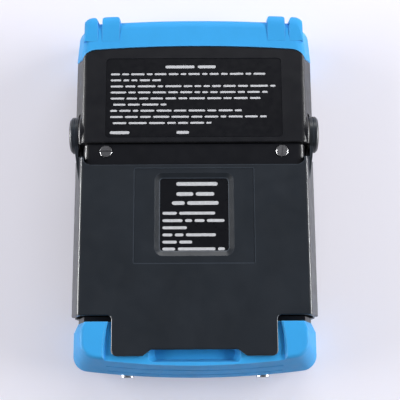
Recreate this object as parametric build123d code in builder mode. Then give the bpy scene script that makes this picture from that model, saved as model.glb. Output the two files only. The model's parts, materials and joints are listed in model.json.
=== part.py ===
from build123d import *
import math
import os

os.makedirs("parts", exist_ok=True)

# Portable ultrasonic flaw detector, lying on its front with its back up.
# X is to the right as seen from behind, Y points to the socket end, Z points out of the back.
# Z = 0 is the plane of the boots' front rims, on which the instrument lies. Millimetres.

# Body
body_top = 130.9            # outermost point of the top end, at the parting plane
body_bottom = 131.5         # outermost point of the bottom end, below the origin
case_side_room = 22.6       # black upper case beside the display, at the parting plane
parting_z = 30.0            # plane where the front and rear covers meet
panel_z = 9.0               # front panel face, above the rims
back_z = 60.0               # face of the rear cover
rear_draft = 16.0           # slope of the sides behind the parting plane, degrees
front_draft = 3.0           # slope of the sides in front of it, degrees
top_bow = 3.0               # rise of the bowed top end across the full width
bottom_bow = 5.8            # rise of the bowed bottom end across the full width
corner_radius = 11.0        # corners of the outline at the parting plane
wall = 2.5                  # moulded cover walls
panel_wall = 3.0            # front panel
back_edge_radius = 4.0      # long rounded edges of the rear cover
touch_gap = 0.1             # fit between pieces of one assembly
full_span = 200.0           # cutting blocks reach past everything
overshoot = 5.0             # cutting forms run this far beyond the body
same_place = 0.01           # edges within this distance of a line count as lying on it

# Boots
boot_wall = 3.2             # rubber over the case
boot_proud = 0.5            # top boot outside the case sides
top_boot_back_z = 60.6      # back face of the top boot
top_boot_seam = 102.3       # lowest line of the top boot at the centre of the back
seam_shoulder = (69.5, 99.9)    # where the seam begins to round the corner
seam_bend = (76.2, 97.8)
seam_tip = (80.3, 94.0)     # lowest point of the seam, on the long edge
seam_side_rise = 0.945      # the seam climbs again on the sides, seen in plan
seam_gap = 0.4
step_gap = 0.6              # the case steps in this far below the stand's flanges
top_boot_edge_radius = 7.0  # rounded top edge of its back
top_pinch = 2.4             # the sides draw in towards the top end
pinch_start = 99.0
rim_width = 9.5             # width of the boots' front rims
block_inner = 53.4          # raised block on the top boot
block_outer = 65.9
block_corner = 2.6
ear_inner = 69.2            # raised ear at the corner, beyond a valley
ear_outer = 78.9
ear_corner = 4.7
raised_corner = 8.0         # corner of the form that shapes blocks and ears
raised_reach = 5.0          # that form's end, beyond the top end
raised_margin = 2.0         # its sides, outside the boot
raised_end = 126.1          # ends of blocks and ears near their back edge
raised_end_z = 57.0
block_full = 118.0          # from this line on the blocks have their full height
block_back_rise = 1.2
block_fade = 106.0          # line on the back where the blocks fade out
bottom_boot_inset = 2.3     # bottom boot's sides, inside the case's half width
bottom_boot_start = 94.3    # upper edge of the lobes, below the origin
lobe_z = 60.6               # back face of the two corner lobes
lobe_inner = 60.6           # inner walls of the lobes
lobe_mouth = 58.0           # the same at their upper end
lobe_curve_end = 112.0      # the inner walls are straight from here on
lobe_curve = 0.7            # how far the curved walls stay behind a straight line's end
lobe_inner_bevel = 1.2
lobe_edge_radius = 3.0
lobe_corner_width = 3.4     # sloped outer top corner of each lobe
lobe_corner_length = 7.0
channel_gap = 0.8           # under the stand's tongue
recess_pad_half_width = 36.0  # lowered part of the case under the finger recess
recess_pad_top = 101.5
recess_pad_drop = 8.0
finger_half_width = 31.0    # finger recess in the bottom boot
finger_top = 103.0
finger_bottom = 121.3
finger_depth = 7.5
finger_bevel = 4.0
finger_corner = 3.0
end_groove_heights = (46.5, 36.5)   # grooves round the bottom end
end_groove_width = 1.6
end_groove_depth = 1.0
boot_screw_x = 48.0
boot_screw_z = 20.0
boot_screw_head_radius = 4.7
boot_screw_head_height = 3.4
boot_screw_radius = 2.0
boot_screw_proud = 2.2
boot_screw_edge_radius = 0.8
boot_screw_length = 16.0

# Stand
stand_wall = 2.5
stand_gap = 0.7             # air between the stand and what it folds against
stand_proud = 1.0           # plate face above the rear cover
flange_proud = 0.5          # flange face outside the case sides
plate_top = 14.1            # upper edge of the plate
plate_shoulder = 90.2       # lower edge of the flanges, below the origin
tongue_half_width = 56.0
tongue_end = 117.2
tongue_corner = 4.0
tongue_root_radius = 3.0
notch_depth = 4.2
notch_half_width = 29.3
notch_mouth = 34.9
notch_corner = 1.5
flange_z = 36.0             # front edges of the flanges
flange_overrun = 7.5        # flanges beyond the plate's upper edge
plate_corner = 5.5          # rounded inner corners between the plate's upper edge and the arms
plate_edge_radius = 2.8
tongue_edge_radius = 1.1
panel_step_half_width = 41.6
panel_step_top = 11.6
panel_step_bottom = 55.2
panel_step_depth = 0.5
panel_step_corner = 0.8
arm_root_radius = 7.0
window_half_width = 27.5
window_top = 8.4
window_bottom = 50.1
window_corner = 6.0
window_bevel = 3.8          # bevelled surround of the window

# Stand pivots
pivot_y = 39.8
pivot_z = 45.0
boss_radius = 14.7          # round landing on the case
boss_inset = 6.1            # its flat face, inside the case's half width
boss_root = 9.5             # how far the landing reaches in under its face
boss_pocket_clearance = 0.9
boss_chamfer = 1.0
cover_edge_radius = 0.8     # lower back edge of the rear cover
hub_radius = 13.1
washer_thickness = 0.8
arm_low_z = 40.0
arm_high_z = 53.0
arm_ramp_start = 27.0       # the arms' outer faces run down into the flanges from here
arm_ramp_end = 5.0
arm_web_z = 47.0            # the arms are joined to the flanges above this height
shoulder_radius = 5.0
running_clearance = 0.05
screw_thread_radius = 3.0
screw_thread_length = 9.0
screw_head_radius = 7.0
screw_head_height = 1.6
wave_washer_thickness = 0.5
cap_wall = 1.3
cap_dome = 0.7
cap_dome_share = 0.75       # part of the dome's rise that is reached halfway in
cap_gap = 0.3               # air over the screw's head
cap_chamfer = 0.5
cap_edge_radius = 1.4
washer_radius = 10.5

# Label places
label_half_width = 62.7
label_top = 93.1
label_bottom = 34.2
label_corner = 3.0
label_recess = 0.6
label_thickness = 0.35

# Battery pack
pack_floor_z = 36.0         # rear cover's bay floor, on which the pack sits
pack_top = 30.3             # upper end of the pack, just under the cover's seam
pack_bottom = 89.4          # lower end of the pack, below the origin
pack_wall = 1.6
pack_base_thickness = 1.5
pack_edge_radius = 5.0
cover_seam = 30.6           # lower edge of the full-height part of the rear cover
cell_radius = 9.1
cell_length = 65.0
cell_gap = 0.4
coin_screw_x = 62.0
coin_screw_y = 24.5
coin_screw_radius = 4.3
coin_screw_proud = 0.9
coin_slot_width = 1.2
coin_slot_depth = 0.8
coin_seat_depth = 0.9
coin_shank_radius = 2.0
coin_clearance = 0.25
coin_post_depth = 6.0
coin_screw_chamfer = 0.4
coin_slot_turns = (0.0, 82.0)   # how far each slot happens to be turned, degrees
pack_end_radius = 1.0
cell_rows = 4
terminal_count = 4
terminal_radius = 1.6
terminal_pitch = 6.0
contact_y = -14.0
contact_width = 26.0
contact_height = 8.0
battery_label_width = 66.0
battery_label_height = 70.0
battery_label_corner = 1.5
screw_tip_gap = 0.5
protection_width = 90.0     # protection board beside the cells
protection_height = 16.0
protection_offset = 12.0    # its middle, from the last cell
chip_count = 4              # components on it
chip_pitch = 18.0
chip_width = 9.0
chip_height = 7.0
chip_rise = 2.2

# Front controls and display
window_width = 134.0
window_height = 100.0
window_y = 62.0             # centre of the display
window_thickness = 1.6
panel_window_corner = 4.0
view_width = 118.0          # opening under the window
view_height = 89.0
view_corner = 2.0
display_width = 130.0
display_height = 98.0
display_thickness = 6.5
frame_thickness = 1.2
frame_margin = 11.0         # display frame beyond the display's sides
frame_inset = 6.0           # and inside its upper and lower edges
frame_rib = 14.0            # middle rib between the frame's two windows
frame_window_inset = 20.0
frame_corner = 4.0
frame_window_corner = 3.0
frame_post_margin = 8.0     # posts beside the display
frame_post_inset = 11.0
board_margin = 12.0         # main board beyond the display's sides
board_inset = 7.0
board_corner = 2.0
# Components on the main board: X and Y from its middle, width, height and rise
main_board_parts = (
    (-30.0, -18.0, 27.0, 27.0, 2.2),
    (8.0, -18.0, 20.0, 14.0, 1.4),
    (36.0, -18.0, 14.0, 20.0, 1.4),
    (-48.0, 14.0, 12.0, 12.0, 3.0),
    (48.0, 22.0, 18.0, 6.0, 4.0),
)
key_travel = 0.8
key_gap = 0.35
key_proud = 1.8
key_flange = 1.0            # flange round each key, behind the panel
key_flange_thickness = 1.2
key_stop_gap = 0.2          # air left behind a pressed key
soft_key_count = 5
soft_key_width = 17.0
soft_key_height = 7.0
soft_key_corner = 2.0
soft_key_pitch = 23.0
soft_key_y = -1.5
pad_key_width = 15.0
pad_key_height = 11.0
pad_key_corner = 3.0
pad_pitch_x = 21.0
pad_pitch_y = 19.0
pad_x = 26.0
pad_y = -48.0
pad_columns = 3
pad_rows = 3
power_key_radius = 6.0
round_limit = 0.01          # round corners stop this short of a full semicircle
power_key_y = -80.0
knob_x = -52.0
knob_y = -40.0
knob_radius = 15.0
knob_height = 6.6
knob_grip_count = 24
knob_panel_gap = 0.9
knob_flute_radius = 0.9
knob_rim = 3.0
knob_hub_wall = 2.0
knob_nut_room = 3.0
knob_nut_gap = 0.8
knob_dimple_place = 0.55    # share of the knob's radius
knob_dimple_radius = 3.2
knob_dimple_depth = 0.7
encoder_size = 13.0
encoder_depth = 7.0
bushing_radius = 3.5
nut_thickness = 2.0
nut_rim = 2.2
bushing_proud = 0.3         # bushing beyond its nut
shaft_bore_floor = 1.5
shaft_end_gap = 2.0
shaft_radius = 3.0
mat_thickness = 1.0
board_thickness = 1.6
standoff_radius = 2.6
standoff_length = 8.0
hex_sides = 6
pulser_y = 76.0
pulser_width = 114.0
pulser_height = 44.0
pulser_post_x = 52.0
pulser_post_rise = 17.0
shield_width = 88.0
shield_length = 36.0
shield_corner = 1.5
shield_height = 9.0
shield_thickness = 0.5
key_top_radius = 0.7
knob_top_wall = 1.6
post_radius = 3.2           # posts inside the covers
board_post_x = 74.0
board_post_rows = (-22.0, -78.0)
power_post_x = 66.0
power_post_rows = (-14.0, -86.0)
power_board_z = 24.0
power_board_margin = 5.0    # power board beyond its posts
power_board_height = 84.0
contact_rise = 0.8          # spring pins above their block
contact_pin_share = 0.6     # pin's radius, of the terminal's
buzzer_place = (40.0, -64.0)
buzzer_radius = 7.0
buzzer_height = 5.0
buzzer_hole_radius = 1.2
buzzer_hole_depth = 1.5
keypad_margin = 4.0         # air beside the keypad
keypad_y = -46.0
keypad_height = 90.0
keypad_corner = 3.0
light_count = 3
light_radius = 1.6
light_pitch = 8.0
light_y = -14.0
case_screw_x = 70.0
case_screw_inset = 14.0     # from the case's ends
case_screw_radius = 1.5
case_screw_head_radius = 2.9
case_screw_head_height = 2.0
screw_seat_z = 36.0
gasket_inset = 0.85
gasket_width = 0.8
gasket_height = 0.8

# Sockets at the top end
bay_half_width = 58.0
bay_low_z = 32.0
bay_high_z = 52.0
bay_depth_y = 114.0         # back wall of the socket bay
socket_x = 38.0
socket_z = 42.0
socket_radius = 5.0
socket_flange_radius = 7.5
socket_bore_radius = 3.5
socket_length = 8.0
socket_bore_depth = 7.0
socket_flange_thickness = 1.5
socket_nut_thickness = 2.5
socket_tail = 3.0
socket_body_depth = 10.0
power_socket_x = -7.0
usb_socket_x = 13.0
power_socket_radius = 4.2
power_socket_margin = 1.0
power_socket_proud = 0.6
power_socket_rim = 1.3
power_socket_bore = 9.0
power_pin_radius = 1.0
usb_width = 13.4
usb_height = 5.8
usb_corner = 0.7
usb_shell = 0.6
usb_wall = 0.5
usb_bore = 8.5
usb_tongue_rise = 1.1
usb_tongue_inset = 1.2
usb_tongue_thickness = 1.8
reset_x = -18.0
reset_radius = 0.9

# Derived places
case_half_width = display_width / 2 + case_side_room
bottom_boot_half_width = case_half_width - bottom_boot_inset
back_slope = math.tan(math.radians(rear_draft))
front_slope = math.tan(math.radians(front_draft))
plate_z = back_z + stand_proud
stand_back_gap = stand_wall + stand_gap - stand_proud
recess_z = back_z - stand_back_gap
side_recess = (stand_wall + stand_gap) / math.cos(math.radians(rear_draft)) - flange_proud
stand_half_width = case_half_width - side_recess
boot_half_width = case_half_width + boot_proud
seat_half_width = boot_half_width - boot_wall
lower_seat_half_width = bottom_boot_half_width - boot_wall
boss_face = case_half_width - boss_inset
case_top = body_top - boot_wall
case_bottom = body_bottom - boot_wall


def plan_outline(plane, half_width, y_low, y_high, bow_low, bow_high, corner):
    """Outline of the body in plan: sides that draw in at the top, bowed ends and round corners."""
    top_width = half_width - top_pinch
    with BuildSketch(plane) as outline:
        with BuildLine():
            right = Polyline((half_width, y_low + bow_low), (half_width, pinch_start),
                             (top_width, y_high - bow_high))
            top = ThreePointArc(right @ 1, (0, y_high), (-top_width, y_high - bow_high))
            left = Polyline(top @ 1, (-half_width, pinch_start), (-half_width, y_low + bow_low))
            ThreePointArc(left @ 1, (0, y_low), right @ 0)
        make_face()
        fillet(outline.vertices(), corner)
    return outline.sketch


def tapered_body(half_width, low, high, base_z, end_z, slope, inset, corner=corner_radius):
    """Body form from the parting plane outwards, narrowing by the slope and inset all round."""
    sections = []
    for z in (base_z, end_z):
        reach = inset + abs(z - parting_z) * slope
        sections.append(plan_outline(Plane.XY.offset(z), half_width - reach, reach - low, high - reach,
                                     bottom_bow, top_bow, corner - inset))
    return loft(sections, ruled=True, mode=Mode.PRIVATE)


def back_half(half_width, low, high, top_z, inset=0.0, corner=corner_radius):
    """Body form behind the parting plane."""
    return tapered_body(half_width, low, high, parting_z, top_z, back_slope, inset, corner)


def front_half(half_width, low, high, low_z, inset=0.0):
    """Body form in front of the parting plane."""
    return tapered_body(half_width, low, high, parting_z, low_z, front_slope, inset)


def slab(y_low, y_high, z_low, z_high, half_width=full_span):
    """Plain block across the body, between two Y and two Z planes."""
    centre = (0, (y_low + y_high) / 2, (z_low + z_high) / 2)
    size = (2 * half_width, y_high - y_low, z_high - z_low)
    return Pos(*centre) * Box(*size, mode=Mode.PRIVATE)


def strip_of(form, y_low, y_high):
    """Stretch of a form between two Y planes."""
    return form & slab(y_low, y_high, -full_span, full_span)


def beside_seam(y_end, shift, z_low, z_high):
    """Plan region between the top boot's seam, shifted along Y, and a line beyond or below it."""
    rise = body_top - seam_tip[0]
    points = [(side * x, y + shift) for side, x, y in (
        (-1, body_top, seam_tip[1] + rise * seam_side_rise), (-1, *seam_tip), (-1, *seam_bend),
        (-1, *seam_shoulder), (0, 0, top_boot_seam), (1, *seam_shoulder), (1, *seam_bend),
        (1, *seam_tip), (1, body_top, seam_tip[1] + rise * seam_side_rise))]
    with BuildPart() as region:
        with BuildSketch(Plane.XY.offset(z_low)):
            with BuildLine():
                Line(points[0], points[1])
                ThreePointArc(*points[1:4])
                ThreePointArc(*points[3:6])
                ThreePointArc(*points[5:8])
                Polyline(points[7], points[8], (body_top, y_end), (-body_top, y_end), points[0])
            make_face()
        extrude(amount=z_high - z_low)
    return region.part


# Front cover
lower_step = plate_shoulder + step_gap
seam_low = seam_tip[1] - seam_gap
below_seam = beside_seam(-body_bottom, -seam_gap, -overshoot, back_z + overshoot)
case_bottom_back_z = plate_z - stand_wall - channel_gap - boot_wall


def upper_strip(form, inset):
    """Full-width stretch of a cover, from the stand up to the top boot's seam."""
    if inset > 0:
        return strip_of(form, cover_seam + inset, seam_low - inset)
    return strip_of(form, cover_seam + inset, body_top) & below_seam


def front_form(inset, low_z):
    """Front cover's outside, or its hollow when inset by the wall."""
    with BuildPart() as form:
        add(front_half(lower_seat_half_width, case_bottom, case_top, low_z, inset))
        add(strip_of(front_half(stand_half_width, case_bottom, case_top, low_z, inset),
                     inset - lower_step, seam_low - inset))
        add(upper_strip(front_half(case_half_width, case_bottom, case_top, low_z, inset), inset))
        add(strip_of(front_half(seat_half_width, case_bottom, case_top, low_z, inset),
                     cover_seam + inset, body_top))
    return form.part


def back_form(inset, floor_z, block_z, upper_z, seat_z):
    """Rear cover's outside, or its hollow when inset by the wall."""
    full = strip_of(back_half(case_half_width, case_bottom, case_top, upper_z, inset),
                    cover_seam + inset, body_top)
    with BuildPart() as upper:
        add(full)
        if inset <= 0:
            fillet(upper.edges().filter_by(Axis.Y).group_by(Axis.Z)[-1], back_edge_radius)
            lower_edge = upper.edges().filter_by(Axis.X).group_by(Axis.Z)[-1].sort_by(Axis.Y)[0]
            fillet(lower_edge, cover_edge_radius)
    with BuildPart() as form:
        add(upper_strip(upper.part, inset))
        add(back_half(lower_seat_half_width, case_bottom, case_top, floor_z, inset))
        block = strip_of(back_half(lower_seat_half_width, case_bottom, case_top, block_z, inset),
                         -body_bottom, -lower_step - inset)
        hand_room = slab(-body_bottom - overshoot, inset - recess_pad_top, block_z - recess_pad_drop, back_z,
                         recess_pad_half_width + inset)
        add(block - hand_room)
        add(strip_of(back_half(stand_half_width, case_bottom, case_top, floor_z, inset),
                     inset - lower_step, seam_low - inset))
        add(strip_of(back_half(seat_half_width, case_bottom, case_top, seat_z, inset),
                     cover_seam + inset, body_top))
    return form.part


def side_disc(radius, x_from, x_to, y=pivot_y, z=pivot_z):
    """Discs with their axis along X at both sides of the body."""
    with BuildPart() as discs:
        with BuildSketch(Plane.YZ.offset(x_from)):
            with Locations((y, z)):
                Circle(radius)
        extrude(amount=x_to - x_from)
        mirror(about=Plane.YZ)
    return discs.part


def save(builder, name):
    """Label a finished piece and write its STEP file."""
    builder.part.label = name
    export_step(builder.part, f"parts/{name}.step")


# Front controls' places
display_z = panel_z + panel_wall
board_z = display_z + key_flange_thickness + key_travel + key_stop_gap + mat_thickness
soft_key_x = [(i - (soft_key_count - 1) / 2) * soft_key_pitch for i in range(soft_key_count)]
pad_places = [
    (pad_x + (column - (pad_columns - 1) / 2) * pad_pitch_x,
     pad_y + ((pad_rows - 1) / 2 - row) * pad_pitch_y)
    for row in range(pad_rows)
    for column in range(pad_columns)
]
light_places = [(knob_x + i * light_pitch, light_y) for i in range(light_count)]
frame_post_x = display_width / 2 + frame_post_margin
frame_post_rise = display_height / 2 - frame_post_inset
frame_post_places = [
    (x, y)
    for x in (-frame_post_x, frame_post_x)
    for y in (window_y - frame_post_rise, window_y + frame_post_rise)
]
board_post_places = [(x, y) for x in (-board_post_x, board_post_x) for y in board_post_rows]
power_post_places = [(x, y) for x in (-power_post_x, power_post_x) for y in power_post_rows]
case_screw_places = [
    (x, y)
    for x in (-case_screw_x, case_screw_x)
    for y in (case_top - case_screw_inset, case_screw_inset - case_bottom)
]
coin_screw_places = [(-coin_screw_x, coin_screw_y), (coin_screw_x, coin_screw_y)]
terminal_places = [
    ((i - (terminal_count - 1) / 2) * terminal_pitch, contact_y) for i in range(terminal_count)
]
bottom_arc_radius = (bottom_boot_half_width**2 + bottom_bow**2) / (2 * bottom_bow)
boot_end_y = (
    body_bottom
    - (bottom_arc_radius - math.sqrt(bottom_arc_radius**2 - boot_screw_x**2))
    - (parting_z - boot_screw_z) * front_slope
)
frame_back_z = display_z + display_thickness + frame_thickness

with BuildPart() as front_cover:
    add(front_form(0, panel_z))
    add(front_form(wall, display_z), mode=Mode.SUBTRACT)
    with BuildSketch(Plane.XY.offset(panel_z)):
        with Locations((0, window_y)):
            RectangleRounded(window_width + 2 * touch_gap, window_height + 2 * touch_gap,
                             panel_window_corner)
    extrude(amount=window_thickness, mode=Mode.SUBTRACT)
    with BuildSketch(Plane.XY.offset(panel_z)):
        with Locations((0, window_y)):
            RectangleRounded(view_width, view_height, view_corner)
    extrude(amount=panel_wall, mode=Mode.SUBTRACT)
    with BuildSketch(Plane.XY.offset(panel_z)):
        with Locations(*[(x, soft_key_y) for x in soft_key_x]):
            RectangleRounded(soft_key_width + 2 * key_gap, soft_key_height + 2 * key_gap, soft_key_corner)
        with Locations(*pad_places):
            RectangleRounded(pad_key_width + 2 * key_gap, pad_key_height + 2 * key_gap, pad_key_corner)
        with Locations((knob_x, power_key_y)):
            Circle(power_key_radius + key_gap)
        with Locations((knob_x, knob_y)):
            Circle(bushing_radius + touch_gap)
        with Locations(*light_places):
            Circle(light_radius + touch_gap)
    extrude(amount=panel_wall, mode=Mode.SUBTRACT)
    with BuildSketch(Plane.XY.offset(display_z)):
        with Locations(*frame_post_places):
            Circle(post_radius)
    extrude(amount=display_thickness)
    with BuildSketch(Plane.XY.offset(display_z)):
        with Locations(*board_post_places):
            Circle(post_radius)
    extrude(amount=board_z - display_z)
    with BuildSketch(Plane.XY.offset(display_z)):
        with Locations(*power_post_places):
            Circle(post_radius)
    extrude(amount=power_board_z - display_z)
    with BuildSketch(Plane.XY.offset(display_z)):
        with Locations(*case_screw_places):
            Circle(post_radius + 1)
    extrude(amount=parting_z - display_z)
    with BuildSketch(Plane.XY.offset(display_z)):
        with Locations(*case_screw_places):
            Circle(case_screw_radius)
    extrude(amount=parting_z - display_z, mode=Mode.SUBTRACT)
    with BuildSketch(Plane.XZ.offset(boot_end_y - boot_wall - wall / 2)):
        with Locations((-boot_screw_x, boot_screw_z), (boot_screw_x, boot_screw_z)):
            Circle(boot_screw_radius + wall)
    extrude(amount=-boot_screw_length)
    with BuildSketch(Plane.XZ.offset(boot_end_y)):
        with Locations((-boot_screw_x, boot_screw_z), (boot_screw_x, boot_screw_z)):
            Circle(boot_screw_radius)
    extrude(amount=-boot_wall - boot_screw_length, mode=Mode.SUBTRACT)
    gasket_z = parting_z - gasket_height
    groove = front_form(gasket_inset, gasket_z) - front_form(gasket_inset + gasket_width, gasket_z)
    add(groove, mode=Mode.SUBTRACT)
save(front_cover, "front_cover")

# Seal between the covers
with BuildPart() as case_gasket:
    add(groove)
save(case_gasket, "case_gasket")

# Rear cover
top_seat_z = top_boot_back_z - boot_wall

with BuildPart() as rear_cover:
    add(back_form(0, pack_floor_z, case_bottom_back_z, back_z, top_seat_z))
    outside = rear_cover.part
    hollow = back_form(wall, pack_floor_z - wall, case_bottom_back_z - wall, back_z - wall,
                       top_seat_z - wall)
    add(hollow, mode=Mode.SUBTRACT)
    pocket_backing = side_disc(boss_radius + wall, boss_face - wall, case_half_width + wall)
    add(pocket_backing & outside)
    add(strip_of(side_disc(boss_radius, boss_face - boss_root, boss_face) - hollow, cover_seam, body_top))
    add(strip_of(side_disc(boss_radius, boss_face - wall, boss_face), cover_seam, body_top))
    add(side_disc(screw_thread_radius + wall, boss_face - wall - screw_thread_length, boss_face))
    rims = rear_cover.edges().filter_by(GeomType.CIRCLE).filter_by(
        lambda e: abs(abs(e.center().X) - boss_face) < same_place
        and abs(e.radius - boss_radius) < same_place)
    chamfer(rims, boss_chamfer)
    add(side_disc(boss_radius + boss_pocket_clearance, boss_face, case_half_width + wall),
        mode=Mode.SUBTRACT)
    add(side_disc(screw_thread_radius, boss_face - screw_thread_length, boss_face), mode=Mode.SUBTRACT)
    add(slab(bay_depth_y - wall, body_top, bay_low_z - wall, bay_high_z + wall, bay_half_width + wall)
        & outside)
    add(slab(bay_depth_y, body_top, bay_low_z, bay_high_z, bay_half_width), mode=Mode.SUBTRACT)
    with BuildSketch(Plane.XY.offset(back_z)):
        with Locations((0, (label_top + label_bottom) / 2)):
            RectangleRounded(2 * label_half_width, label_top - label_bottom, label_corner)
    extrude(amount=-label_recess, mode=Mode.SUBTRACT)
    for x, y in case_screw_places:
        post = Cylinder(case_screw_head_radius + wall, back_z - parting_z, mode=Mode.PRIVATE)
        add((Pos(x, y, (back_z + parting_z) / 2) * post) & outside)
        with BuildSketch(Plane.XY.offset(screw_seat_z)):
            with Locations((x, y)):
                Circle(case_screw_head_radius + key_gap)
        extrude(amount=back_z - screw_seat_z, mode=Mode.SUBTRACT)
        with BuildSketch(Plane.XY.offset(parting_z)):
            with Locations((x, y)):
                Circle(case_screw_radius + touch_gap)
        extrude(amount=screw_seat_z - parting_z, mode=Mode.SUBTRACT)
    with BuildSketch(Plane.XY.offset(pack_floor_z)):
        with Locations(*coin_screw_places):
            Circle(coin_shank_radius + wall)
    extrude(amount=-coin_post_depth)
    with BuildSketch(Plane.XY.offset(pack_floor_z)):
        with Locations(*coin_screw_places):
            Circle(coin_shank_radius)
    extrude(amount=-coin_post_depth, mode=Mode.SUBTRACT)
    with BuildSketch(Plane.XY.offset(pack_floor_z)):
        with Locations((0, contact_y)):
            Rectangle(contact_width + 2 * key_gap, contact_height + 2 * key_gap)
    extrude(amount=-wall, mode=Mode.SUBTRACT)
    with BuildSketch(Plane.XZ.offset(-bay_depth_y)):
        with Locations((-socket_x, socket_z), (socket_x, socket_z)):
            Circle(socket_radius + touch_gap)
        with Locations((power_socket_x, socket_z)):
            Circle(power_socket_radius + touch_gap)
        with Locations((usb_socket_x, socket_z)):
            RectangleRounded(usb_width + 2 * touch_gap, usb_height + 2 * touch_gap, usb_corner + touch_gap)
        with Locations((reset_x, socket_z)):
            Circle(reset_radius)
    extrude(amount=wall, mode=Mode.SUBTRACT)
save(rear_cover, "rear_cover")

# Screws that hold the covers together
with BuildPart() as case_screws:
    with BuildSketch(Plane.XY.offset(screw_seat_z)):
        with Locations(*case_screw_places):
            Circle(case_screw_head_radius)
    extrude(amount=case_screw_head_height)
    with BuildSketch(Plane.XY.offset(screw_seat_z)):
        with Locations(*case_screw_places):
            Circle(case_screw_radius - running_clearance)
    extrude(amount=display_z + 2 - screw_seat_z)
save(case_screws, "case_screws")

# Notes label
with BuildPart() as notes_label:
    with BuildSketch(Plane.XY.offset(back_z - label_recess)):
        with Locations((0, (label_top + label_bottom) / 2)):
            RectangleRounded(2 * label_half_width - 2 * key_gap, label_top - label_bottom - 2 * key_gap,
                             label_corner - key_gap)
    extrude(amount=label_thickness)
save(notes_label, "notes_label")

# Battery pack
pack_top_z = recess_z
cell_places_y = [
    -pack_bottom + pack_wall + cell_gap + cell_radius + row * (2 * cell_radius + cell_gap)
    for row in range(cell_rows)
]
base_top_z = pack_floor_z + pack_base_thickness


def pack_form(inset, low_z, high_z):
    """Battery pack's outside or hollow, following the body's slope."""
    form = strip_of(back_half(stand_half_width, case_bottom, case_top, high_z, inset),
                    inset - pack_bottom, pack_top - inset)
    return form & slab(-body_bottom, body_top, low_z, high_z)


hub_pocket = side_disc(boss_radius + boss_pocket_clearance, boss_face, case_half_width + wall)

with BuildPart() as battery_shell:
    add(pack_form(0, base_top_z, pack_top_z))
    back_edges = battery_shell.edges().group_by(Axis.Z)[-1]
    fillet(back_edges.filter_by(Axis.Y), pack_edge_radius)
    fillet(battery_shell.edges().group_by(Axis.Z)[-1].filter_by(Axis.X), pack_end_radius)
    add(pack_form(pack_wall, base_top_z, pack_top_z - pack_wall), mode=Mode.SUBTRACT)
    with BuildSketch(Plane.XY.offset(base_top_z)):
        with Locations(*coin_screw_places):
            Circle(coin_shank_radius + coin_clearance + pack_wall)
    extrude(amount=pack_top_z - pack_wall / 2 - base_top_z)
    with BuildSketch(Plane.XY.offset(base_top_z)):
        with Locations(*coin_screw_places):
            Circle(coin_shank_radius + coin_clearance)
    extrude(amount=pack_top_z - base_top_z, mode=Mode.SUBTRACT)
    with BuildSketch(Plane.XY.offset(pack_top_z)):
        with Locations(*coin_screw_places):
            Circle(coin_screw_radius + coin_clearance)
    extrude(amount=-coin_seat_depth, mode=Mode.SUBTRACT)
    add(hub_pocket, mode=Mode.SUBTRACT)
save(battery_shell, "battery_shell")

with BuildPart() as battery_base:
    add(pack_form(0, pack_floor_z, base_top_z))
    with BuildSketch(Plane.XY.offset(pack_floor_z)):
        with Locations(*coin_screw_places):
            Circle(coin_shank_radius + coin_clearance)
        with Locations(*terminal_places):
            Circle(terminal_radius)
    extrude(amount=pack_base_thickness, mode=Mode.SUBTRACT)
    add(hub_pocket, mode=Mode.SUBTRACT)
save(battery_base, "battery_base")

with BuildPart() as battery_terminals:
    with BuildSketch(Plane.XY.offset(pack_floor_z)):
        with Locations(*terminal_places):
            Circle(terminal_radius)
    extrude(amount=pack_base_thickness)
save(battery_terminals, "battery_terminals")

with BuildPart() as battery_cells:
    for y in cell_places_y:
        with BuildSketch(Plane.YZ.offset(cell_gap)):
            with Locations((y, base_top_z + touch_gap + cell_radius)):
                Circle(cell_radius)
        extrude(amount=cell_length)
    mirror(about=Plane.YZ)
save(battery_cells, "battery_cells")

protection_place = (0, cell_places_y[-1] + cell_radius + protection_offset)
with BuildPart() as protection_board:
    with BuildSketch(Plane.XY.offset(base_top_z)):
        with Locations(protection_place):
            Rectangle(protection_width, protection_height)
    extrude(amount=board_thickness)
    with BuildSketch(Plane.XY.offset(base_top_z + board_thickness)):
        with Locations(protection_place):
            with GridLocations(chip_pitch, 1, chip_count, 1):
                Rectangle(chip_width, chip_height)
    extrude(amount=chip_rise)
save(protection_board, "protection_board")

with BuildPart() as battery_label:
    with BuildSketch(Plane.XY.offset(pack_top_z)):
        with Locations((0, (window_top - window_bottom) / 2)):
            RectangleRounded(battery_label_width, battery_label_height, battery_label_corner)
    extrude(amount=label_thickness)
save(battery_label, "battery_label")

with BuildPart() as battery_screws:
    head_z = pack_top_z - coin_seat_depth
    with BuildSketch(Plane.XY.offset(head_z)):
        with Locations(*coin_screw_places):
            Circle(coin_screw_radius)
    extrude(amount=coin_seat_depth + coin_screw_proud)
    rims = battery_screws.edges().group_by(Axis.Z)[-1]
    chamfer(rims, coin_screw_chamfer)
    with BuildSketch(Plane.XY.offset(head_z)):
        with Locations(*coin_screw_places):
            Circle(coin_shank_radius - running_clearance)
    extrude(amount=pack_floor_z - coin_post_depth + screw_tip_gap - head_z)
    for (x, y), turn in zip(coin_screw_places, coin_slot_turns):
        with BuildSketch(Plane.XY.offset(pack_top_z + coin_screw_proud)):
            with Locations(Location((x, y), turn)):
                Rectangle(3 * coin_screw_radius, coin_slot_width)
        extrude(amount=-coin_slot_depth, mode=Mode.SUBTRACT)
save(battery_screws, "battery_screws")

# Stand: plate, flanges, arms and hubs in one moulding
flange_half_width = case_half_width + flange_proud
hub_face = boss_face + washer_thickness
hub_outer = hub_face + stand_wall


def flange_x(z):
    """Outer face of the flanges at a height."""
    return flange_half_width - (z - parting_z) * back_slope


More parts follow.
